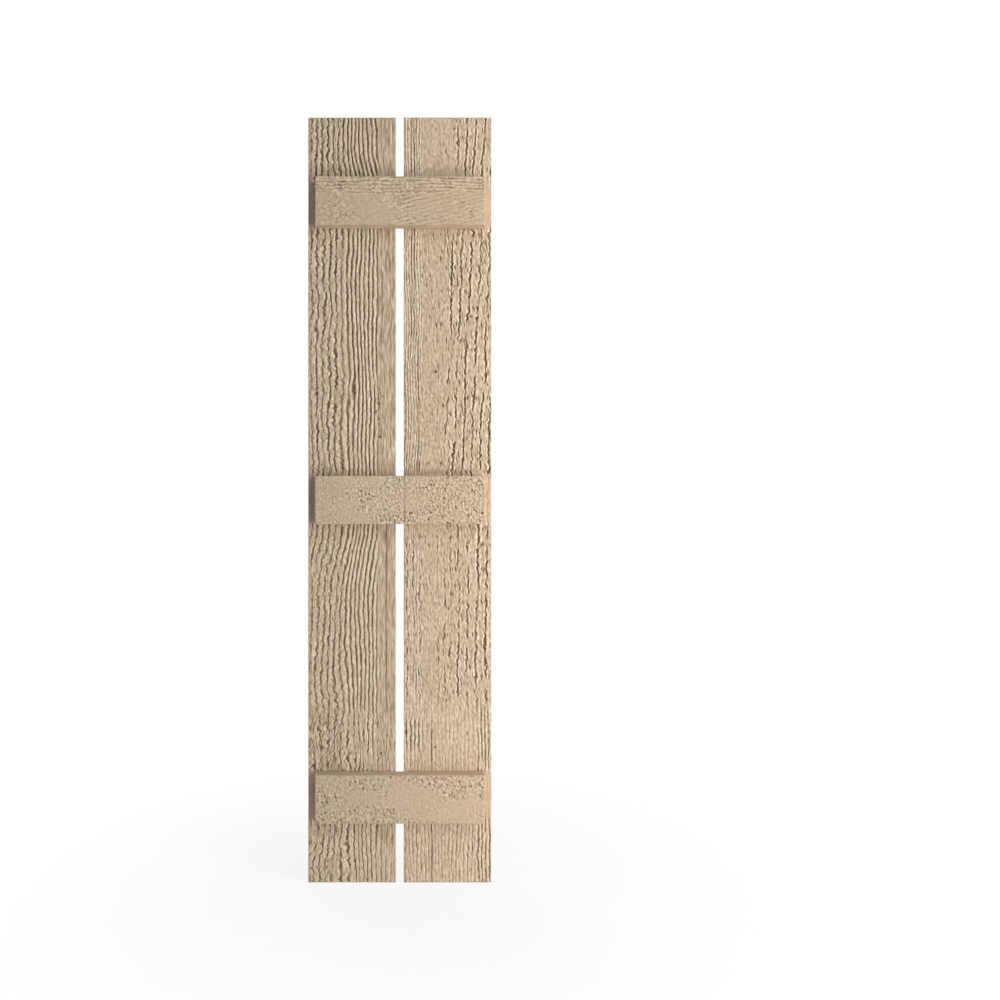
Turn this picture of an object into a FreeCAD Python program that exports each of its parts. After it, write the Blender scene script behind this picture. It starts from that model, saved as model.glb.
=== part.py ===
import FreeCAD, Part
import os
import Sketcher

# A board and batten window shutter, seen from its front, which faces -Y. Two upright
# boards stand side by side with a gap between them. Three battens lie across their
# fronts and stop short of the boards' outer edges. Two countersunk screws hold each
# board to each batten, and all twelve are driven from behind, so none shows in front.
# Up is +Z. The origin is the middle of the left board's back face.

DRIVING_SIZES = (
    ("board_width", 139.7, "width of each upright board"),
    ("board_length", 1219.2, "length of each upright board"),
    ("board_thickness", 22.2, "thickness of each upright board"),
    ("board_gap", 12.7, "gap between the two boards"),
    ("batten_height", 76.2, "height of each batten"),
    ("batten_thickness", 22.2, "thickness of each batten"),
    ("batten_inset", 12.7, "from a batten's end to the board's outer edge"),
    ("end_reveal", 101.6, "board left bare beyond the top and bottom battens"),
    ("arris", 1.0, "small bevel planed along every edge of the timber"),
    ("screw_head", 8.3, "diameter of a screw's head"),
    ("screw_shank", 4.2, "diameter of the plain shank under the head"),
    ("screw_core", 3.1, "diameter inside the thread"),
    ("screw_point", 4.0, "length of the tapered point"),
    ("core_start", 3.0, "core reaching back into the board"),
    ("countersink_angle", 90.0, "full angle of the head and of its seat"),
    ("recess_width", 2.7, "width of the square driver recess"),
    ("recess_depth", 1.9, "depth of the square driver recess"),
    ("screw_clearance", 0.15, "gap all round a screw in its hole"),
    ("head_setback", 0.4, "from the board's back to a screw's head"),
    ("tip_cover", 6.0, "batten left in front of a screw's tip"),
    ("pilot_runout", 1.0, "pilot hole beyond a screw's tip"),
    ("screw_side_margin", 28.0, "from a batten's end, or a board's inner edge, to a screw"),
    ("screw_edge_margin", 19.0, "from a batten's long edge to a screw"),
)

# Sizes that follow from the driving ones, as expressions.
HALF_BATTEN = "(Sizes.board_width + Sizes.board_gap / 2 - Sizes.batten_inset)"
BATTEN_PITCH = "(Sizes.board_length / 2 - Sizes.end_reveal - Sizes.batten_height / 2)"
CENTRE_LINE = "((Sizes.board_width + Sizes.board_gap) / 2)"
SCREW_RISE = "(Sizes.batten_height / 2 - Sizes.screw_edge_margin)"
SCREW_LENGTH = (
    "(Sizes.board_thickness - Sizes.head_setback + Sizes.batten_thickness - Sizes.tip_cover)"
)
HALF_ANGLE = "(Sizes.countersink_angle / 2 * 1 deg)"
CLEAR_SHANK = "Sizes.screw_shank + 2 * Sizes.screw_clearance"
CLEAR_CORE = "Sizes.screw_core + 2 * Sizes.screw_clearance"

# The two screws at a crossing lie on a slant: the outer one low, the inner one high.
OUTER_FROM_CENTRE = f"({HALF_BATTEN} - Sizes.screw_side_margin)"
INNER_FROM_CENTRE = "(Sizes.board_gap / 2 + Sizes.screw_side_margin)"

CUTTING_FEATURES = (
    "PartDesign::Chamfer",
    "PartDesign::Hole",
    "PartDesign::Pocket",
    "PartDesign::LinearPattern",
    "PartDesign::Mirrored",
)

LEFT, RIGHT = -1, 1
SIDES = (("left", LEFT), ("right", RIGHT))
ROWS = (("bottom", -1), ("middle", 0), ("top", 1))

doc = FreeCAD.newDocument("board_and_batten_shutter")


def write_sizes():
    """The sheet of driving dimensions, in millimetres and degrees."""
    sheet = doc.addObject("Spreadsheet::Sheet", "Sizes")
    for row, (alias, value, meaning) in enumerate(DRIVING_SIZES, start=1):
        sheet.set(f"A{row}", meaning)
        sheet.set(f"B{row}", str(value))
        sheet.setAlias(f"B{row}", alias)
    doc.recompute()


def new_piece(label):
    """An empty body whose label is the piece's name."""
    body = doc.addObject("PartDesign::Body", label)
    body.Label = label
    return body


def datum(body, role):
    """One of the body's own origin planes or axes."""
    return next(item for item in body.Origin.OriginFeatures if item.Role == role)


def new_sketch(body, name, plane):
    sketch = body.newObject("Sketcher::SketchObject", f"{body.Name}_{name}")
    sketch.AttachmentSupport = [(datum(body, plane), "")]
    sketch.MapMode = "FlatFace"
    return sketch


def bind(sketch, name, constraint, expression):
    """Adds a dimension to a sketch and ties it to an expression."""
    index = sketch.addConstraint(constraint)
    sketch.renameConstraint(index, name)
    sketch.setExpression(f"Constraints.{name}", expression)


def draw_loop(sketch, corners):
    """Closed outline of straight lines through rough corner places."""
    count = len(corners)
    for index in range(count):
        start = FreeCAD.Vector(*corners[index], 0)
        end = FreeCAD.Vector(*corners[(index + 1) % count], 0)
        sketch.addGeometry(Part.LineSegment(start, end))
    for index in range(count):
        sketch.addConstraint(Sketcher.Constraint("Coincident", index, 2, (index + 1) % count, 1))


def draw_rectangle(sketch, width, height):
    """Rectangle centred on the sketch's origin, its two sides tied to expressions."""
    draw_loop(sketch, ((-1, -1), (1, -1), (1, 1), (-1, 1)))
    for side in (0, 2):
        sketch.addConstraint(Sketcher.Constraint("Horizontal", side))
    for side in (1, 3):
        sketch.addConstraint(Sketcher.Constraint("Vertical", side))
    sketch.addConstraint(Sketcher.Constraint("Symmetric", 0, 1, 2, 1, -1, 1))
    bind(sketch, "width", Sketcher.Constraint("DistanceX", 0, 1, 0, 2, 2), width)
    bind(sketch, "height", Sketcher.Constraint("DistanceY", 1, 1, 1, 2, 2), height)


def draw_hole_centre(sketch, name, across, up, diameter):
    """Circle for a drilled hole. across and up are each a direction and an expression."""
    side, distance_across = across
    rise, distance_up = up
    index = sketch.addGeometry(Part.Circle(FreeCAD.Vector(side, rise, 0), FreeCAD.Vector(0, 0, 1), 1))
    origin = (-1, 1)
    centre = (index, 3)
    ends_across = origin + centre if side > 0 else centre + origin
    ends_up = origin + centre if rise > 0 else centre + origin
    bind(sketch, f"{name}_across", Sketcher.Constraint("DistanceX", *ends_across, 1), distance_across)
    bind(sketch, f"{name}_up", Sketcher.Constraint("DistanceY", *ends_up, 1), distance_up)
    bind(sketch, f"{name}_bore", Sketcher.Constraint("Diameter", index, 2), diameter)


def plane_timber(body, width, length, thickness):
    """Sawn block with a back face on the body's XZ plane, all its edges eased."""
    outline = new_sketch(body, "outline", "XZ_Plane")
    draw_rectangle(outline, width, length)
    block = body.newObject("PartDesign::Pad", f"{body.Name}_block")
    block.Profile = outline
    block.setExpression("Length", thickness)
    doc.recompute()
    edges = [f"Edge{number}" for number, _ in enumerate(block.Shape.Edges, start=1)]
    eased = body.newObject("PartDesign::Chamfer", f"{body.Name}_arris")
    eased.Base = (block, edges)
    eased.setExpression("Size", "Sizes.arris")
    doc.recompute()


def drill(body, name, sketch, diameter):
    """Hole at each circle of a sketch on the back face, bored towards the front."""
    hole = body.newObject("PartDesign::Hole", f"{body.Name}_{name}")
    hole.Profile = sketch
    hole.Reversed = True
    doc.recompute()
    hole.setExpression("Diameter", diameter)
    return hole


def make_board(name, side):
    """Upright board with a clearance hole and a countersink for each of its six screws."""
    body = new_piece(name)
    body.setExpression("Placement.Base.x", f"{side} * {CENTRE_LINE} + {CENTRE_LINE}")
    plane_timber(body, "Sizes.board_width", "Sizes.board_length", "Sizes.board_thickness")

    lowest_pair = new_sketch(body, "lowest_pair", "XZ_Plane")
    outer = (side, f"{OUTER_FROM_CENTRE} - {CENTRE_LINE}")
    inner = (-side, f"{CENTRE_LINE} - {INNER_FROM_CENTRE}")
    draw_hole_centre(lowest_pair, "outer", outer, (-1, f"{BATTEN_PITCH} + {SCREW_RISE}"), CLEAR_SHANK)
    draw_hole_centre(lowest_pair, "inner", inner, (-1, f"{BATTEN_PITCH} - {SCREW_RISE}"), CLEAR_SHANK)
    hole = drill(body, "screw_holes", lowest_pair, CLEAR_SHANK)
    hole.DepthType = "ThroughAll"
    hole.HoleCutType = "Countersink"
    hole.HoleCutCustomValues = True
    hole.setExpression("HoleCutCountersinkAngle", "Sizes.countersink_angle")
    widening = f"2 * Sizes.head_setback * tan({HALF_ANGLE})"
    hole.setExpression("HoleCutDiameter", f"Sizes.screw_head + 2 * Sizes.screw_clearance + {widening}")
    doc.recompute()

    rows = body.newObject("PartDesign::LinearPattern", f"{body.Name}_rows_of_holes")
    rows.Originals = [hole]
    rows.Direction = (datum(body, "Z_Axis"), [""])
    rows.Mode = "Spacing"
    rows.Occurrences = len(ROWS)
    rows.setExpression("Offset", BATTEN_PITCH)
    body.Tip = rows
    return body


def make_batten(name, row):
    """Cross batten with four blind pilot holes in its back, two behind each board."""
    body = new_piece(name)
    body.setExpression("Placement.Base.x", CENTRE_LINE)
    body.setExpression("Placement.Base.y", "-Sizes.board_thickness")
    body.setExpression("Placement.Base.z", f"{row} * {BATTEN_PITCH}")
    plane_timber(body, f"2 * {HALF_BATTEN}", "Sizes.batten_height", "Sizes.batten_thickness")

    right_pair = new_sketch(body, "right_pair", "XZ_Plane")
    draw_hole_centre(right_pair, "outer", (RIGHT, OUTER_FROM_CENTRE), (-1, SCREW_RISE), CLEAR_CORE)
    draw_hole_centre(right_pair, "inner", (RIGHT, INNER_FROM_CENTRE), (1, SCREW_RISE), CLEAR_CORE)
    hole = drill(body, "pilot_holes", right_pair, CLEAR_CORE)
    hole.DepthType = "Dimension"
    hole.DrillPoint = "Flat"
    hole.setExpression("Depth", "Sizes.batten_thickness - Sizes.tip_cover + Sizes.pilot_runout")
    doc.recompute()

    both_pairs = body.newObject("PartDesign::Mirrored", f"{body.Name}_left_pair")
    both_pairs.Originals = [hole]
    both_pairs.MirrorPlane = (datum(body, "YZ_Plane"), [""])
    body.Tip = both_pairs
    return body


def make_screw(name, side, row, from_centre, rise):
    """Countersunk wood screw on its own axis, its head at the back and its point in front."""
    body = new_piece(name)
    body.setExpression("Placement.Base.x", f"{CENTRE_LINE} + {side} * {from_centre}")
    body.setExpression("Placement.Base.y", "-Sizes.head_setback")
    body.setExpression("Placement.Base.z", f"{row} * {BATTEN_PITCH} + {rise} * {SCREW_RISE}")

    # Half section, up the axis to the flat head, then down the cone, shank, core and point.
    section = new_sketch(body, "section", "XY_Plane")
    draw_loop(section, ((0, -38), (0, 0), (4, 0), (2, -2), (2, -19), (1.5, -19), (1.5, -34)))
    axis, head, cone, shank, step, core = range(6)
    section.addConstraint(Sketcher.Constraint("Coincident", axis, 2, -1, 1))
    for upright in (axis, shank, core):
        section.addConstraint(Sketcher.Constraint("Vertical", upright))
    for level in (head, step):
        section.addConstraint(Sketcher.Constraint("Horizontal", level))
    bind(section, "length", Sketcher.Constraint("DistanceY", axis, 1, axis, 2, 38), SCREW_LENGTH)
    bind(section, "head", Sketcher.Constraint("DistanceX", head, 1, head, 2, 4), "Sizes.screw_head / 2")
    shank_radius = Sketcher.Constraint("DistanceX", axis, 2, cone, 2, 2)
    bind(section, "shank", shank_radius, "Sizes.screw_shank / 2")
    cone_height = f"(Sizes.screw_head - Sizes.screw_shank) / 2 / tan({HALF_ANGLE})"
    bind(section, "cone", Sketcher.Constraint("DistanceY", cone, 2, cone, 1, 2), cone_height)
    core_radius = Sketcher.Constraint("DistanceX", axis, 2, step, 2, 1.5)
    bind(section, "core", core_radius, "Sizes.screw_core / 2")
    step_depth = "Sizes.board_thickness - Sizes.head_setback - Sizes.core_start"
    bind(section, "step", Sketcher.Constraint("DistanceY", step, 2, axis, 2, 19), step_depth)
    bind(section, "point", Sketcher.Constraint("DistanceY", axis, 1, core, 2, 4), "Sizes.screw_point")

    turned = body.newObject("PartDesign::Revolution", f"{body.Name}_turned")
    turned.Profile = section
    turned.ReferenceAxis = (section, ["V_Axis"])
    turned.Angle = 360

    square = new_sketch(body, "square", "XZ_Plane")
    draw_rectangle(square, "Sizes.recess_width", "Sizes.recess_width")
    recess = body.newObject("PartDesign::Pocket", f"{body.Name}_recess")
    recess.Profile = square
    recess.Reversed = True
    recess.setExpression("Length", "Sizes.recess_depth")
    return body


def make_screw_set(name, row):
    """The four separate screws that hold one batten, two through each board."""
    screws = []
    for side_name, side in SIDES:
        screws.append(make_screw(f"{name}_{side_name}_outer", side, row, OUTER_FROM_CENTRE, -1))
        screws.append(make_screw(f"{name}_{side_name}_inner", side, row, INNER_FROM_CENTRE, 1))
    screw_set = doc.addObject("Part::Compound", name)
    screw_set.Label = name
    screw_set.Links = screws
    return screw_set


def check_document():
    """Stops with the faulty object's name if anything failed or a cut missed the solid."""
    for item in doc.Objects:
        if "Invalid" in item.State or "Error" in item.State:
            raise RuntimeError(f"{item.Label} failed: {item.State}")
        if item.TypeId in CUTTING_FEATURES and item.Shape.Volume >= item.BaseFeature.Shape.Volume:
            raise RuntimeError(f"{item.Label} cut nothing away")
    for piece in pieces:
        if piece.Shape.isNull() or not piece.Shape.isValid():
            raise RuntimeError(f"{piece.Label} has no valid shape")


write_sizes()
pieces = [make_board(f"{name}_board", side) for name, side in SIDES]
pieces += [make_batten(f"{name}_batten", row) for name, row in ROWS]
pieces += [make_screw_set(f"{name}_batten_screws", row) for name, row in ROWS]
doc.recompute()
check_document()

os.makedirs("parts", exist_ok=True)
for piece in pieces:
    piece.Shape.exportStep(f"parts/{piece.Label}.step")
    box = piece.Shape.BoundBox
    print(f"{piece.Label}: {piece.Shape.Volume:.1f} mm3, x {box.XMin:.2f} to {box.XMax:.2f}, "
          f"y {box.YMin:.2f} to {box.YMax:.2f}, z {box.ZMin:.2f} to {box.ZMax:.2f}")
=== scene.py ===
import math

import bpy
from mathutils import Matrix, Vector


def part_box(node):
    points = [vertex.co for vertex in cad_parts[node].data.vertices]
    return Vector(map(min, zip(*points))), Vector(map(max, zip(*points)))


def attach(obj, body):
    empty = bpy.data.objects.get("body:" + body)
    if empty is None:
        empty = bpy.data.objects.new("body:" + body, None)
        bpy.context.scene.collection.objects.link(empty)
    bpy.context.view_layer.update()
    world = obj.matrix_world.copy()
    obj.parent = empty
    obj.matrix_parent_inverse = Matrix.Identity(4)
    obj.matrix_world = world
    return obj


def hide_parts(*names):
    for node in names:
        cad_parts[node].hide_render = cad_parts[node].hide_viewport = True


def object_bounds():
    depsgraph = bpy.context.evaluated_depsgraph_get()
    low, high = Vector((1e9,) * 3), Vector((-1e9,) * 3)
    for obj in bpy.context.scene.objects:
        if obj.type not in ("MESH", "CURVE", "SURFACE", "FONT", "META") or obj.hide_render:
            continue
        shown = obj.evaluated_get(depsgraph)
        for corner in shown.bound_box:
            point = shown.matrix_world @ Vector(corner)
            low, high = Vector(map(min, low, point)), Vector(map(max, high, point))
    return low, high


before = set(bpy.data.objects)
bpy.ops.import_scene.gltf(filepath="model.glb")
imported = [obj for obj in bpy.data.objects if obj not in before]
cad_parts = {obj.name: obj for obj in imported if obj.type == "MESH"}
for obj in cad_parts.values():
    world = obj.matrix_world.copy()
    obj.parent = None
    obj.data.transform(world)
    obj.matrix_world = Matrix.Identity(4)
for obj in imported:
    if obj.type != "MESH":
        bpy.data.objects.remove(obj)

cad_low, cad_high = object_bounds()

# Left board
# An upright of rough-sawn softwood with its edges eased by a plane, stained tan. Brushing has worn the soft
# spring wood into grooves between the hard rings: ragged by the outer edge, even in the middle, shallow by
# the gap, and torn aslant at the foot.

CENTRE = (cad_low.x + cad_high.x) / 2
BATTEN_PITCH = 0.4699
ARRIS = 0.001
EDGE_BANDS = 9
BOARD_CELLS = (168, 464)
SWING_REACH = 3.4

# A relief runs from -1 in the deepest groove up to RIM at the skin. That span is RELIEF_DEPTH on a face,
# and EDGE_DEPTH on the edges and ends.
RIM = 0.4
RELIEF_DEPTH = 0.0019
EDGE_DEPTH = 0.0005


class Field:
    """A number that varies over a piece, worked out by the nodes of one tree."""

    def __init__(self, socket):
        self.socket = socket
        self.tree = socket.id_data

    def worked(self, operation, *others):
        node = self.tree.nodes.new("ShaderNodeMath")
        node.operation = operation
        for place, value in enumerate((self, *others)):
            feed(node.inputs[place], value)
        return Field(node.outputs["Value"])

    def __add__(self, other):
        return self.worked("ADD", other)

    def __sub__(self, other):
        return self.worked("SUBTRACT", other)

    def __mul__(self, other):
        return self.worked("MULTIPLY", other)

    def __truediv__(self, other):
        return self.worked("DIVIDE", other)

    def absolute(self):
        return self.worked("ABSOLUTE")

    def floor(self):
        return self.worked("FLOOR")

    def root(self):
        return self.worked("SQRT")

    def least(self, other):
        return self.worked("MINIMUM", other)

    def most(self, other):
        return self.worked("MAXIMUM", other)

    def rest(self):
        """What is left of 1."""
        return self * -1.0 + 1.0

    def step(self, start, end, rise="SMOOTHSTEP"):
        """Rises smoothly from 0 at start to 1 at end."""
        node = self.tree.nodes.new("ShaderNodeMapRange")
        node.interpolation_type = rise
        feed(node.inputs["Value"], self)
        feed(node.inputs["From Min"], start)
        feed(node.inputs["From Max"], end)
        return Field(node.outputs["Result"])

    def ramp(self, start, end):
        """Rises evenly from 0 at start to 1 at end."""
        return self.step(start, end, "LINEAR")


def feed(socket, value):
    """Gives an input a number, or the result of other nodes."""
    if isinstance(value, Field):
        socket.id_data.links.new(value.socket, socket)
    else:
        socket.default_value = value


def vector_of(x, y, z):
    """Three numbers as one place."""
    node = x.tree.nodes.new("ShaderNodeCombineXYZ")
    for name, value in zip("XYZ", (x, y, z)):
        feed(node.inputs[name], value)
    return Field(node.outputs["Vector"])


def parts_of(socket):
    """The X, Y and Z of a place or a direction."""
    node = socket.id_data.nodes.new("ShaderNodeSeparateXYZ")
    socket.id_data.links.new(socket, node.inputs["Vector"])
    return [Field(node.outputs[name]) for name in "XYZ"]


def swing(across, along, wide, long, seed, detail=0.0):
    """Smooth chance between about -1 and 1, in patches that wide across the grain and that long along it.

    across and along are places in metres. Each seed gives a pattern of its own.
    """
    node = across.tree.nodes.new("ShaderNodeTexNoise")
    node.inputs["Scale"].default_value = 1.0
    node.inputs["Detail"].default_value = detail
    feed(node.inputs["Vector"], vector_of(across / wide, along / long, seed))
    return (Field(node.outputs["Fac"]) - 0.5) * SWING_REACH


def grooves(across, along, spacing, width, ragged, broken, seed):
    """Brushed rings: -1 at the bottom of a groove, 0 on plain wood and about RIM on the rims beside it.

    ragged, from 0 to 1, makes the grooves jagged. broken, from 0 to 1, takes stretches of them away.
    """
    # The rings wander, slowly and then more quickly, and jagged ones wander most.
    course = across + swing(across, along, 0.045, 0.11, seed) * 0.0028
    course = course + swing(across, along, 0.010, 0.024, seed + 11.3) * 0.0008
    course = course + swing(across, along, 0.0095, 0.0062, seed + 23.7) * (ragged * 0.0009 + 0.0004)
    course = course + swing(across, along, 0.0080, 0.0031, seed + 29.3) * ragged * 0.0006
    place = course / spacing
    ring = place.floor()
    distance = (place - ring - 0.5).absolute() * spacing
    # Each groove swells and narrows on its way, between two rims.
    swell = swing(ring * 5.37, along, 1.0, 0.0052, seed + 31.9)
    reach = (swell * (ragged * 0.14 + 0.10) + 1.0) * width
    hollow = distance.step(reach * 1.25, reach * 0.05)
    rim = distance.step(reach * 0.85, reach * 1.45) * distance.step(reach * 3.2, reach * 2.0)
    # It stops and starts, is shallower where it is narrow, and stronger in some rings than in others.
    kept = swing(ring * 7.61, along, 1.0, 0.020, seed + 47.1).step(broken * 2.0 - 1.5, broken * 2.0 - 0.7)
    bead = swell.step(-0.9, 0.3) * (ragged * 0.35 + 0.15) + (ragged * -0.35 + 0.85)
    strength = swing(ring * 3.93, along, 1.0, 0.25, seed + 59.3).step(-0.9, 0.1) * 0.35 + 0.65
    flecks = swing(across, along, 0.0050, 0.0034, seed + 71.9) * 0.45 + 0.85
    return (rim * flecks * RIM - hollow) * kept * bead * strength


def grit(across, along, wide, long, seed):
    """The torn fibres all over rough-sawn wood, up and down from 0."""
    return swing(across, along, wide, long, seed, detail=0.5)


def tears(across, along, wide, long, share, seed):
    """Short tears: -1 in each, 0 elsewhere. share, from -1 to 1, is how many there are."""
    return (swing(across, along, wide, long, seed) + share).step(0.5, 0.95) * -1.0


def crack(distance, half_width):
    """A fine line in the wood, 1 in its middle, from the distance to it."""
    return distance.absolute().step(half_width, 0.0003)


def swirl(across, along, across_middle, along_middle):
    """Where the rings swell aside, 1 in its middle."""
    x = (across - across_middle) / 0.009
    z = (along - along_middle) / 0.022
    return (x * x + z * z).root().step(1.0, 0.0)


def pit(across, along, across_middle, along_middle):
    """A pinhead hollow, 1 in its middle."""
    x = across - across_middle
    z = along - along_middle
    return (x * x + z * z).root().step(0.0030, 0.0010)


def exposed(along):
    """1 on the open board, and a quarter behind a batten, where it was left almost as sawn."""
    height = along.absolute()
    behind = (height - BATTEN_PITCH).absolute().least(height).step(0.0385, 0.0360)
    return (behind * 0.75).rest()


def left_board_relief(across, along):
    """Ragged rings by the outer edge, even ones in the middle, a quiet strip by the gap and a torn foot.

    across runs from the outer edge to the gap, and along upwards from the shutter's middle height.
    """
    edge = across.step(0.066, 0.044)
    outermost = across.step(0.006, 0.003)
    quiet = across.step(0.106, 0.116)
    lower = along.step(0.020, -0.100)
    foot = along.step(-0.325, -0.350)
    base = along.step(-0.500, -0.515)
    # The rings lean aside below the head and below the middle, and lie wider apart by the outer edge.
    lean = along.step(0.560, 0.500) * across.ramp(0.0, 0.075) * 0.009
    lean = lean - along.step(-0.030, -0.150) * 0.014
    course = across - lean + (across * -1.0 + 0.064).most(0.0) * 0.20
    course = course + swirl(across, along, across_middle=0.069, along_middle=0.175) * 0.003
    rings = grooves(
        course,
        along,
        spacing=0.0065,
        width=edge * -0.0002 + 0.0014,
        ragged=edge * 0.65 + 0.22,
        broken=edge * 0.06 + 0.08,
        seed=1.7,
    )
    # At the foot they lie wider apart, jagged and broken, and sway from side to side.
    sway = swing(across, along, wide=0.030, long=0.070, seed=13.0) * 0.006
    hollows_and_rims = grooves(
        course + sway * 0.4,
        along,
        spacing=0.0074,
        width=0.0012,
        ragged=0.8,
        broken=base * -0.20 + 0.44,
        seed=14.2,
    )
    ringed = rings * (lower * 0.15).rest() * foot.rest() + hollows_and_rims * foot
    ringed = ringed * (along.step(0.400, 0.470) * 0.12 + 1.0)
    ringed = ringed * (quiet * (lower * 0.08 - foot * 0.35 + 0.85)).rest() * (outermost * 0.7).rest()
    # The quiet strip has a pinhole, and one crease below the middle.
    bent = swing(across, along, wide=0.02, long=0.03, seed=12.0) * 0.0006
    crease = crack(across - 0.124 + bent, 0.0018)
    crease = crease * along.step(0.010, -0.020) * foot.rest() * 0.5
    pinhole = pit(across, along, across_middle=0.1144, along_middle=0.1005)
    # Tears are thickest in a frayed patch above the pinhole, by the outer edge and at the foot.
    frayed = across.step(0.104, 0.110) * across.step(0.122, 0.117)
    frayed = frayed * along.step(0.100, 0.115) * along.step(0.190, 0.165)
    torn = tears(
        across + (along * -0.25 + sway) * foot,
        along,
        wide=0.0018,
        long=foot * 0.0035 + 0.0060,
        share=edge * 0.35 + foot * 0.38 - base * 0.24 + frayed * 0.70 - 0.35,
        seed=5.1,
    )
    torn = torn * (foot * 0.10 + 0.6)
    # Fine fibres cover it all, longer ones on the quiet strip.
    streaks = grit(across, along, wide=0.0020, long=0.0090, seed=9.4) * 0.26 * quiet.rest()
    faint = grit(across + sway * 0.5, along, wide=0.0022, long=0.0150, seed=10.4)
    faint = faint * (lower * -0.08 + 0.42) - 0.08
    streaks = streaks + faint * quiet
    return (ringed - crease - pinhole + torn + streaks + foot * 0.06) * exposed(along)


def timber_relief(face_relief, place, low, face, end, lying):
    """A whole timber's relief: its own on the face, torn fibres down the edges, short ones on the ends."""
    x, y, z = place
    if lying:
        across = z - low.z
        along = x
    else:
        across = x - low.x
        along = z
    girth = across + y
    edges = grooves(girth, along, spacing=0.0047, width=0.0009, ragged=0.5, broken=0.5, seed=8.2) * 0.45
    edges = edges + grit(girth, along, wide=0.0021, long=0.012, seed=6.6) * 0.2
    ends = grit(x + y * 0.6, z + y, wide=0.0022, long=0.0022, seed=3.3) * 0.3
    sides = edges * end.rest() + ends * end
    return face_relief(across, along) * face + sides * face.rest()


def timber_blank(name, node, cells):
    """A timber as it comes from the saw: a close mesh on the face, bands down the edges and a flat back."""
    low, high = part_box(node)
    size = high - low
    middle = (low + high) / 2
    bpy.ops.object.select_all(action="DESELECT")
    bpy.ops.mesh.primitive_grid_add(
        x_subdivisions=cells[0],
        y_subdivisions=cells[1],
        size=1,
        location=(middle.x, low.y, middle.z),
        rotation=(math.radians(90), 0, 0),
    )
    piece = bpy.context.object
    piece.name = name
    piece.data.name = name
    piece.scale = (size.x - 2 * ARRIS, size.z - 2 * ARRIS, 1)
    bpy.ops.object.transform_apply(location=True, rotation=True, scale=True)
    bpy.ops.object.mode_set(mode="EDIT")
    bpy.ops.mesh.select_mode(type="EDGE")
    bpy.ops.mesh.select_all(action="DESELECT")
    bpy.ops.mesh.select_non_manifold()
    widen = (size.x / (size.x - 2 * ARRIS), 1, size.z / (size.z - 2 * ARRIS))
    narrow = (1 / widen[0], 1, 1 / widen[2])
    band = (size.y - 2 * ARRIS) / EDGE_BANDS
    for depth, spread in [(ARRIS, widen)] + [(band, (1, 1, 1))] * EDGE_BANDS + [(ARRIS, narrow)]:
        bpy.ops.mesh.extrude_region_move(TRANSFORM_OT_translate={"value": (0, depth, 0)})
        bpy.ops.transform.resize(value=spread, center_override=middle)
    bpy.ops.mesh.edge_face_add()
    bpy.ops.mesh.select_all(action="SELECT")
    bpy.ops.mesh.normals_make_consistent(inside=False)
    bpy.ops.object.mode_set(mode="OBJECT")
    return piece


def carve(piece, face_relief, low, lying=False):
    """Sinks the relief into the timber's skin, and marks its face and its ends for the stain."""
    tree = bpy.data.node_groups.new(f"{piece.name}_relief", "GeometryNodeTree")
    tree.interface.new_socket("Geometry", in_out="INPUT", socket_type="NodeSocketGeometry")
    tree.interface.new_socket("Geometry", in_out="OUTPUT", socket_type="NodeSocketGeometry")
    blank = tree.nodes.new("NodeGroupInput")
    carved = tree.nodes.new("NodeGroupOutput")
    place = parts_of(tree.nodes.new("GeometryNodeInputPosition").outputs["Position"])
    nx, ny, nz = parts_of(tree.nodes.new("GeometryNodeInputNormal").outputs["Normal"])
    face = (ny * -1.0).step(0.2, 0.7)
    off_the_back = ny.step(0.7, 0.2)
    end = (nx if lying else nz).absolute().step(0.55, 0.85)
    relief = timber_relief(face_relief, place, low, face, end, lying)
    depth = face * (RELIEF_DEPTH - EDGE_DEPTH) + EDGE_DEPTH
    inward = (relief.most(-1.0).least(RIM) - RIM) / (1.0 + RIM) * depth * off_the_back
    flow = blank.outputs["Geometry"]
    for word, value in (("face", face), ("end_grain", end)):
        store = tree.nodes.new("GeometryNodeStoreNamedAttribute")
        store.inputs["Name"].default_value = word
        feed(store.inputs["Value"], value)
        tree.links.new(flow, store.inputs["Geometry"])
        flow = store.outputs["Geometry"]
    move = tree.nodes.new("GeometryNodeSetPosition")
    feed(move.inputs["Offset"], vector_of(nx * inward, ny * inward, nz * inward))
    tree.links.new(flow, move.inputs["Geometry"])
    tree.links.new(move.outputs["Geometry"], carved.inputs["Geometry"])
    modifier = piece.modifiers.new("relief", "NODES")
    modifier.node_group = tree
    bpy.context.view_layer.objects.active = piece
    bpy.ops.object.modifier_apply(modifier=modifier.name)
    bpy.data.node_groups.remove(tree)


# The dark colour goes in the grooves and hollows: stain gathered there, and painted shade of the hollows
# too.
STAIN_AND_SHADE_DARK = (0.150, 0.089, 0.042, 1)
STAIN_GREEN = (0.525, 0.422, 0.292, 1)
STAIN_RED = (0.610, 0.457, 0.320, 1)
# The pale colour goes on raised wood: a painted highlight on the rims beside the grooves, and paler fibres
# elsewhere.
PALE_WOOD_AND_HIGHLIGHT = (0.880, 0.740, 0.570, 1)
DARKEST_AT = -0.90
LIGHTEST_AT = 0.60
REDDER_PER_METRE = 3.5
STAIN_ROUGHNESS = 0.88
STAIN_SHEEN = 0.2
FIBRE_HEIGHT = 0.0005
FIBRE_STRENGTH = 0.4


def blended(tree, share, first, second):
    """Two colours mixed by a share, from 0 for the first to 1 for the second."""
    node = tree.nodes.new("ShaderNodeMix")
    node.data_type = "RGBA"
    feed(node.inputs["Factor"], share)
    for name, value in (("A", first), ("B", second)):
        socket = next(s for s in node.inputs if s.name == name and s.type == "RGBA")
        if isinstance(value, bpy.types.NodeSocket):
            tree.links.new(value, socket)
        else:
            socket.default_value = value
    return next(s for s in node.outputs if s.type == "RGBA")


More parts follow.
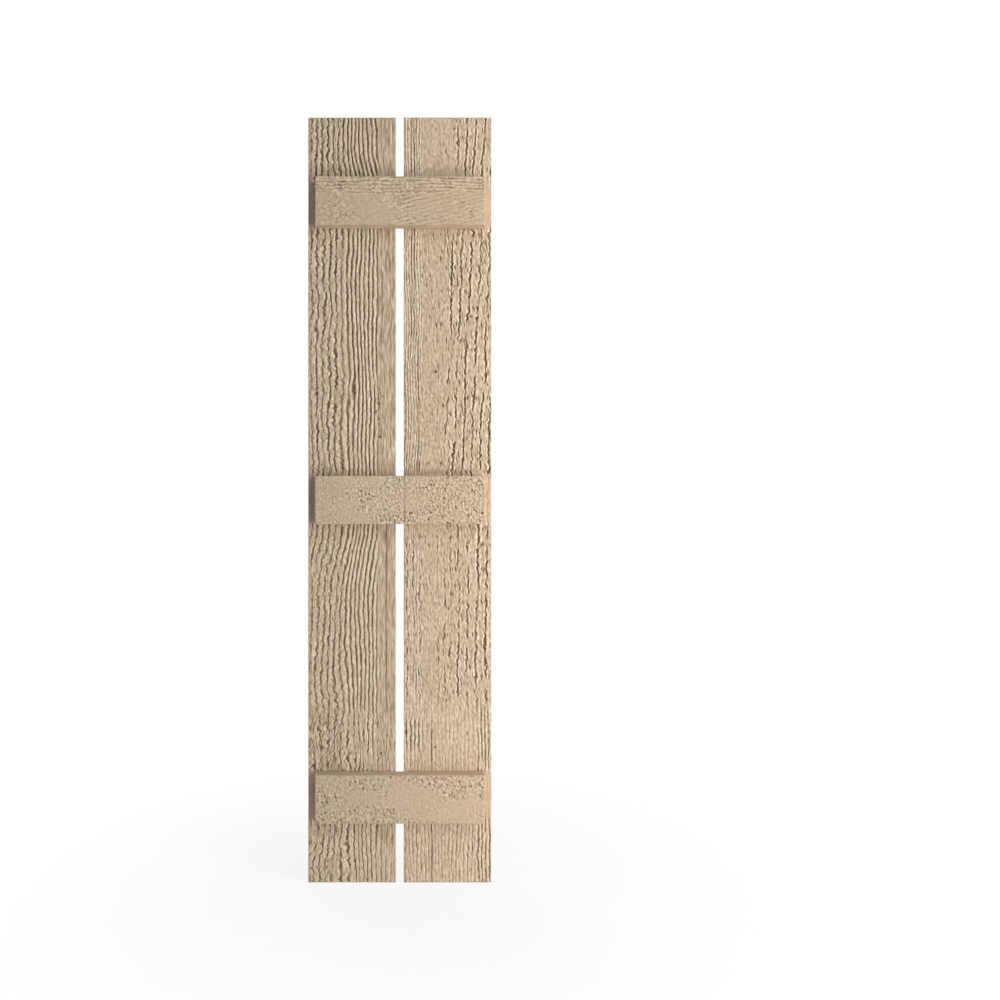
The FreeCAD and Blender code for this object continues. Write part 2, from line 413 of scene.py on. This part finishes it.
def stained(piece, face_relief, low, lying=False):
    """Tan stain on rough timber. It is darker in the grooves and hollows, partly stain gathered there and
    partly painted shade, and paler where the wood is raised: a painted highlight on the rims beside the
    grooves, and paler fibres elsewhere.
    """
    finish = bpy.data.materials.new(f"stain_on_{piece.name}")
    finish.use_nodes = True
    tree = finish.node_tree
    shader = tree.nodes["Principled BSDF"]
    shader.inputs["Roughness"].default_value = STAIN_ROUGHNESS
    shader.inputs["Specular IOR Level"].default_value = STAIN_SHEEN
    place = parts_of(tree.nodes.new("ShaderNodeTexCoord").outputs["Object"])
    masks = []
    for word in ("face", "end_grain"):
        node = tree.nodes.new("ShaderNodeAttribute")
        node.attribute_name = word
        masks.append(Field(node.outputs["Fac"]))
    relief = timber_relief(face_relief, place, low, *masks, lying)
    x, y, z = place
    across, along = (z + y, x) if lying else (x + y, z)
    fibres = swing(across, along, wide=0.0010, long=0.016, seed=21.0, detail=1.0)
    patches = swing(across, along, wide=0.030, long=0.060, seed=22.0, detail=1.0)
    hollows_and_rims = relief + fibres * 0.05
    redder = patches * 0.25 + (x - CENTRE) * REDDER_PER_METRE + 0.5
    colour = blended(tree, redder, STAIN_GREEN, STAIN_RED)
    # Darker in the hollows: gathered stain, and painted shade.
    colour = blended(tree, hollows_and_rims.ramp(0.0, DARKEST_AT), colour, STAIN_AND_SHADE_DARK)
    # Paler where raised: a painted highlight on the rims, and paler fibres.
    colour = blended(tree, hollows_and_rims.ramp(0.0, LIGHTEST_AT), colour, PALE_WOOD_AND_HIGHLIGHT)
    tree.links.new(colour, shader.inputs["Base Color"])
    bump = tree.nodes.new("ShaderNodeBump")
    bump.inputs["Strength"].default_value = FIBRE_STRENGTH
    bump.inputs["Distance"].default_value = FIBRE_HEIGHT
    feed(bump.inputs["Height"], fibres)
    tree.links.new(bump.outputs["Normal"], shader.inputs["Normal"])
    piece.data.materials.append(finish)


def timber(node, cells, face_relief, lying=False):
    """A whole board or batten, carved, stained and standing for its solid."""
    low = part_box(node)[0]
    piece = timber_blank(f"{node}_timber", node, cells)
    carve(piece, face_relief, low, lying)
    stained(piece, face_relief, low, lying)
    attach(piece, "root")
    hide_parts(node)
    return piece


left_board = timber("left_board", BOARD_CELLS, left_board_relief)


# Right board
# The second upright, from wider-ringed wood: fine rings by the gap, a calm middle with few tears, and deep
# broken grooves on the outer side. All of them turn fine and straight at the foot.


def right_board_relief(across, along):
    """Fine rings by the gap, a calm middle, deep grooves on the outer side and straight lines at the foot.

    across runs from the gap to the outer edge, and along upwards from the shutter's middle height.
    """
    inner = across.step(0.033, 0.026)
    calm = across.step(0.026, 0.032) * across.step(0.056, 0.050)
    outside = across.step(0.108, 0.119)
    head = along.step(0.480, 0.510)
    below = along.step(0.030, -0.060)
    foot = along.step(-0.300, -0.350)
    outer = (across - (below + along.step(0.460, 0.510)) * 0.009).step(0.060, 0.072)
    fine = grooves(
        across,
        along,
        spacing=0.0042,
        width=0.0008,
        ragged=0.25,
        broken=below * 0.35 + 0.26,
        seed=33.1,
    )
    fine = fine * (inner * (below * -0.16 + 0.66) + 0.05)
    # Above the middle a crease runs up through the fine rings, and two take its place higher up.
    bent = swing(across, along, wide=0.02, long=0.04, seed=43.0) * 0.0006
    crease = crack(across + bent - 0.0225, 0.0018) * along.step(0.270, 0.240)
    pair = crack((across + bent - 0.0142).absolute() - 0.0024, 0.0017) * along.step(0.240, 0.270)
    crease = (crease + pair) * along.step(-0.020, 0.020) * 0.5
    pits = pit(across, along, across_middle=0.0506, along_middle=0.2044)
    pits = pits.most(pit(across, along, across_middle=0.0506, along_middle=-0.394))
    # The deep grooves drift outwards as they rise. Below the middle, dashes lie beside the calm strip.
    drift = (along.most(-0.080) - 0.431) * 0.042 + below * 0.0022
    bends = swing(across, along, wide=0.016, long=0.010, seed=38.0) * 0.0010
    deep = grooves(
        across - drift - 0.0723 + bends,
        along,
        spacing=0.0142,
        width=0.0015,
        ragged=1.0,
        broken=0.36,
        seed=36.4,
    )
    deep = deep * outer * 1.35
    dotted = grooves(
        across + bends,
        along,
        spacing=0.0100,
        width=0.0013,
        ragged=1.0,
        broken=0.58,
        seed=47.2,
    )
    dotted = dotted * below * calm.rest() * outer.rest() * 0.8
    # The foot has straight lines, close ones at the outer edge, short ones where it starts, and one vein.
    straight = grooves(across, along, spacing=0.0058, width=0.0011, ragged=0.3, broken=0.40, seed=39.8)
    straight = straight * (along.step(-0.440, -0.520) * 0.20 + 0.32)
    close = grooves(across, along, spacing=0.0055, width=0.0013, ragged=0.2, broken=0.12, seed=41.3) * 0.80
    start = along.step(-0.345, -0.352) * along.step(-0.410, -0.380) * across.step(0.038, 0.028)
    short = grooves(across, along, spacing=0.0066, width=0.0013, ragged=0.4, broken=0.05, seed=45.6) * start
    vein = crack(across - 0.0440 + swing(across, along, wide=0.02, long=0.03, seed=44.0) * 0.0005, 0.0017)
    vein = vein * along.step(-0.340, -0.365) * 0.6
    lower = straight * outside.rest() * start.rest() + short + close * outside - vein
    ringed = (fine + deep + dotted) * foot.rest() + lower * foot - crease - pits
    # Tears are fewest at the foot, on the calm strip and near the head.
    torn = tears(
        across + along * 0.15,
        along,
        wide=0.0021,
        long=0.0130,
        share=outer * 0.10 + inner * (below * 0.18 - 0.15) - foot * 0.40 - calm * 0.15 - head * 0.15 + 0.03,
        seed=35.1,
    )
    torn = torn * (below * -0.15 + 0.80)
    streaks = grit(across, along + across * 0.5, wide=0.0022, long=0.0060, seed=39.4) * 0.32
    pale = inner.most(foot) * 0.07 + inner * along.step(0.100, 0.450) * 0.11 + head * 0.04
    return (ringed + torn + streaks + pale) * exposed(along)


right_board = timber("right_board", BOARD_CELLS, right_board_relief)


# Battens
# Three short cross pieces of the same timber, laid across the uprights with their grain level. They were
# sawn, not brushed, so their faces are stippled with torn fibres: in rows on the top one, all over the
# middle one and in drifts on the bottom one.

BATTEN_CELLS = (350, 110)


def top_batten_relief(across, along):
    """Rows of dashes in the upper third, slanted strokes below them at the right, and a patchy stipple.

    across runs up from the lower edge, and along to the right from the left board's middle.
    """
    upper = across.step(0.046, 0.051)
    rows = grooves(across, along, spacing=0.0054, width=0.0013, ragged=0.8, broken=0.36, seed=51.2)
    rows = rows * (upper * 0.42 + 0.04)
    slant = grooves(
        across - along * 0.22,
        along,
        spacing=0.0062,
        width=0.0012,
        ragged=0.4,
        broken=0.35,
        seed=55.7,
    )
    slant = slant * along.step(0.066, 0.080) * (along.step(0.112, 0.124) * -0.16 + 0.36) * upper.rest()
    drift = swing(across, along, wide=0.030, long=0.050, seed=54.0)
    torn = tears(across, along, wide=0.0038, long=0.0038, share=drift * 0.5 - 0.45, seed=58.6) * 0.5
    stipple = grit(across, along, wide=0.0036, long=0.0044, seed=57.4)
    stipple = stipple * (upper * 0.12 + drift.step(-0.4, 0.4) * 0.16 + 0.12)
    return rows + slant + torn + stipple - along.step(0.040, 0.150) * 0.07


def middle_batten_relief(across, along):
    """Stipple all over, thicker towards the right end, and one thin upright scratch."""
    lean = along + across * 0.2
    thicker = swing(across, along, wide=0.030, long=0.040, seed=61.3) + along * 6.0 - 0.4
    thicker = thicker.step(-0.7, 0.7)
    torn = tears(across, lean, wide=0.0050, long=0.0028, share=thicker * 0.35 - 0.35, seed=63.8) * 0.8
    bent = swing(across, along, wide=0.01, long=0.01, seed=68.0) * 0.0006
    scratch = crack(along - 0.0833 + bent, 0.0018) * 0.35
    stipple = grit(across, lean, wide=0.0042, long=0.0030, seed=66.1) * (thicker * 0.26 + 0.22)
    return torn - scratch + stipple - along.step(0.040, 0.150) * 0.04


def bottom_batten_relief(across, along):
    """Stipple in two drifts, from the lower edge at the left and from the upper edge at the right."""
    lower = swing(across, along, wide=0.020, long=0.060, seed=71.3) - across * 30.0 + 1.0 - along * 5.0
    upper = swing(across, along, wide=0.020, long=0.060, seed=72.3) + across * 30.0 - 2.0 + along * 5.0
    thicker = lower.most(upper).step(-0.5, 0.5)
    lean = along + across * 0.3
    torn = tears(across, lean, wide=0.0046, long=0.0034, share=thicker * 0.70 - 0.55, seed=73.8) * 0.6
    stipple = grit(across, along, wide=0.0048, long=0.0040, seed=76.1) * (thicker * 0.24 + 0.14)
    return torn + stipple


top_batten = timber("top_batten", BATTEN_CELLS, top_batten_relief, lying=True)
middle_batten = timber("middle_batten", BATTEN_CELLS, middle_batten_relief, lying=True)
bottom_batten = timber("bottom_batten", BATTEN_CELLS, bottom_batten_relief, lying=True)


# Screw holes
# Drilled from behind after sawing: in the boards a clearance hole with a cone sunk for each screw's head, in
# each batten a blind pilot hole for its thread. The backs are flat, so the holes' rims come out clean.

SCREW_OUTER = 0.10535
SCREW_INNER = 0.03435
SCREW_RISE = 0.0191
SHANK_HOLE = 0.00225
SINK = 0.0047
PILOT_HOLE = 0.0017
PILOT_DEPTH = 0.0172
HOLE_SIDES = 40
OVERSHOOT = 0.002
SHARP = math.radians(50)


def drilled(piece, sides, heights, profile):
    """Holes from behind, two a crossing, by one joined cutter. profile gives its radius at each depth."""
    (start, first), *rest = profile
    cutters = []
    for side in sides:
        for height in heights:
            for reach, rise in ((SCREW_OUTER, -SCREW_RISE), (SCREW_INNER, SCREW_RISE)):
                x = CENTRE + side * reach
                z = height + rise
                bpy.ops.object.select_all(action="DESELECT")
                bpy.ops.mesh.primitive_circle_add(
                    vertices=HOLE_SIDES,
                    radius=first,
                    fill_type="NGON",
                    location=(x, start, z),
                    rotation=(math.radians(90), 0, 0),
                )
                cutter = bpy.context.object
                bpy.ops.object.transform_apply(location=True, rotation=True, scale=True)
                bpy.ops.object.mode_set(mode="EDIT")
                bpy.ops.mesh.select_mode(type="FACE")
                bpy.ops.mesh.select_all(action="SELECT")
                reached = start
                radius = first
                for y, narrower in rest:
                    bpy.ops.mesh.extrude_region_move(TRANSFORM_OT_translate={"value": (0, y - reached, 0)})
                    bpy.ops.transform.resize(value=(narrower / radius,) * 3, center_override=(x, y, z))
                    reached = y
                    radius = narrower
                bpy.ops.mesh.select_all(action="SELECT")
                bpy.ops.mesh.normals_make_consistent(inside=False)
                bpy.ops.object.mode_set(mode="OBJECT")
                cutters.append(cutter)
    for cutter in cutters:
        cutter.select_set(True)
    bpy.context.view_layer.objects.active = cutters[0]
    bpy.ops.object.join()
    cut = piece.modifiers.new("holes", "BOOLEAN")
    cut.object = cutters[0]
    cut.solver = "MANIFOLD"
    bpy.context.view_layer.objects.active = piece
    bpy.ops.object.modifier_apply(modifier=cut.name)
    bpy.data.objects.remove(cutters[0])


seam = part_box("left_board")[0].y
shank_profile = [
    (OVERSHOOT, SINK + OVERSHOOT),
    (SHANK_HOLE - SINK, SHANK_HOLE),
    (seam - OVERSHOOT, SHANK_HOLE),
]
pilot_profile = [(seam + OVERSHOOT, PILOT_HOLE), (seam - PILOT_DEPTH, PILOT_HOLE)]
drilled(left_board, [-1], [-BATTEN_PITCH, 0, BATTEN_PITCH], shank_profile)
drilled(right_board, [1], [-BATTEN_PITCH, 0, BATTEN_PITCH], shank_profile)
drilled(bottom_batten, [-1, 1], [-BATTEN_PITCH], pilot_profile)
drilled(middle_batten, [-1, 1], [0], pilot_profile)
drilled(top_batten, [-1, 1], [BATTEN_PITCH], pilot_profile)
for piece in (left_board, right_board, bottom_batten, middle_batten, top_batten):
    bpy.ops.object.select_all(action="DESELECT")
    piece.select_set(True)
    bpy.context.view_layer.objects.active = piece
    bpy.ops.object.shade_smooth_by_angle(angle=SHARP)


# Screws
# Twelve countersunk wood screws with square sockets, driven from behind and just below the wood. They are
# pressed and rolled from steel wire, zinc plated, and a little dulled by weather.

ZINC_DULL = (0.36, 0.36, 0.35, 1)
ZINC_BRIGHT = (0.62, 0.62, 0.60, 1)
ZINC_ROUGHNESS = 0.42
DULL_ROUGHER = 0.10

zinc = bpy.data.materials.new("dulled_zinc")
zinc.use_nodes = True
tree = zinc.node_tree
shader = tree.nodes["Principled BSDF"]
shader.inputs["Metallic"].default_value = 1.0
x, y, z = parts_of(tree.nodes.new("ShaderNodeTexCoord").outputs["Object"])
dull = swing(x, y + z, wide=0.0012, long=0.0012, seed=81.0, detail=2.0)
feed(shader.inputs["Roughness"], dull * DULL_ROUGHER + ZINC_ROUGHNESS)
plating = blended(tree, dull.step(-0.6, 0.8), ZINC_DULL, ZINC_BRIGHT)
tree.links.new(plating, shader.inputs["Base Color"])
for row in ("bottom", "middle", "top"):
    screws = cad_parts[f"{row}_batten_screws"]
    screws.data.materials.clear()
    screws.data.materials.append(zinc)


# Studio
# A pale floor under the shutter's foot, white all round, a tall soft lamp on the right, a low one beside it
# and a broad weak one behind.

FLOOR_REACH = 6.0
FLOOR_GLOW = 0.85
FILL = 0.295
CAMERA_DISTANCE = 1.411
SENSOR = 36
LENS = 31.9
SHIFT = 0.1002


def shown_to_viewer(tree):
    """1 for what the camera sees, straight or in a gloss or a glass, and 0 for what lights the shutter."""
    rays = tree.nodes.new("ShaderNodeLightPath")
    seen = Field(rays.outputs["Is Camera Ray"]).most(Field(rays.outputs["Is Glossy Ray"]))
    return seen.most(Field(rays.outputs["Is Transmission Ray"]))


bpy.ops.object.select_all(action="DESELECT")
bpy.ops.mesh.primitive_plane_add(size=2 * FLOOR_REACH, location=(CENTRE, 0, cad_low.z))
floor = bpy.context.object
floor.name = "floor"
paper = bpy.data.materials.new("pale_paper")
paper.use_nodes = True
tree = paper.node_tree
shader = tree.nodes["Principled BSDF"]
shader.inputs["Base Color"].default_value = (0.9, 0.9, 0.9, 1)
shader.inputs["Roughness"].default_value = 0.9
glow = tree.nodes.new("ShaderNodeEmission")
mixed = tree.nodes.new("ShaderNodeMixShader")
x, y, z = parts_of(tree.nodes.new("ShaderNodeTexCoord").outputs["Object"])
away = (x * x + y * y).root().step(0.1, 0.7)
feed(mixed.inputs["Fac"], shown_to_viewer(tree) * (away * (1.0 - FLOOR_GLOW) + FLOOR_GLOW))
tree.links.new(shader.outputs["BSDF"], mixed.inputs[1])
tree.links.new(glow.outputs["Emission"], mixed.inputs[2])
tree.links.new(mixed.outputs["Shader"], tree.nodes["Material Output"].inputs["Surface"])
floor.data.materials.append(paper)

world = bpy.data.worlds.new("studio")
bpy.context.scene.world = world
world.use_nodes = True
tree = world.node_tree
ambient = tree.nodes["Background"]
ambient.inputs["Color"].default_value = (1, 1, 1, 1)
feed(ambient.inputs["Strength"], shown_to_viewer(tree) * (1.0 - FILL) + FILL)


def lamp(name, location, target, width, height, power):
    """A soft oblong lamp turned towards its target, which the camera doesn't see."""
    bpy.ops.object.light_add(type="AREA", location=location)
    made = bpy.context.object
    made.name = name
    made.data.shape = "RECTANGLE"
    made.data.size = width
    made.data.size_y = height
    made.data.energy = power
    made.rotation_euler = (Vector(target) - made.location).to_track_quat("-Z", "Y").to_euler()
    made.visible_camera = False


lamp("tall_lamp", (CENTRE + 1.05, -0.80, 0.05), (CENTRE, 0, 0), width=0.40, height=2.2, power=21.7)
lamp("low_lamp", (CENTRE + 1.1, -1.1, -0.50), (CENTRE, 0, 0.2), width=0.8, height=0.15, power=5.2)
lamp("back_lamp", (CENTRE - 0.9, 1.5, 0.50), (CENTRE, 0, 0), width=1.2, height=1.2, power=14)

bpy.ops.object.camera_add(
    location=(CENTRE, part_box("left_board")[0].y - CAMERA_DISTANCE, 0),
    rotation=(math.radians(90), 0, 0),
)
camera = bpy.context.object
camera.data.sensor_width = SENSOR
camera.data.lens = LENS
camera.data.shift_x = SHIFT
bpy.context.scene.camera = camera

bpy.context.scene.view_settings.view_transform = "Standard"
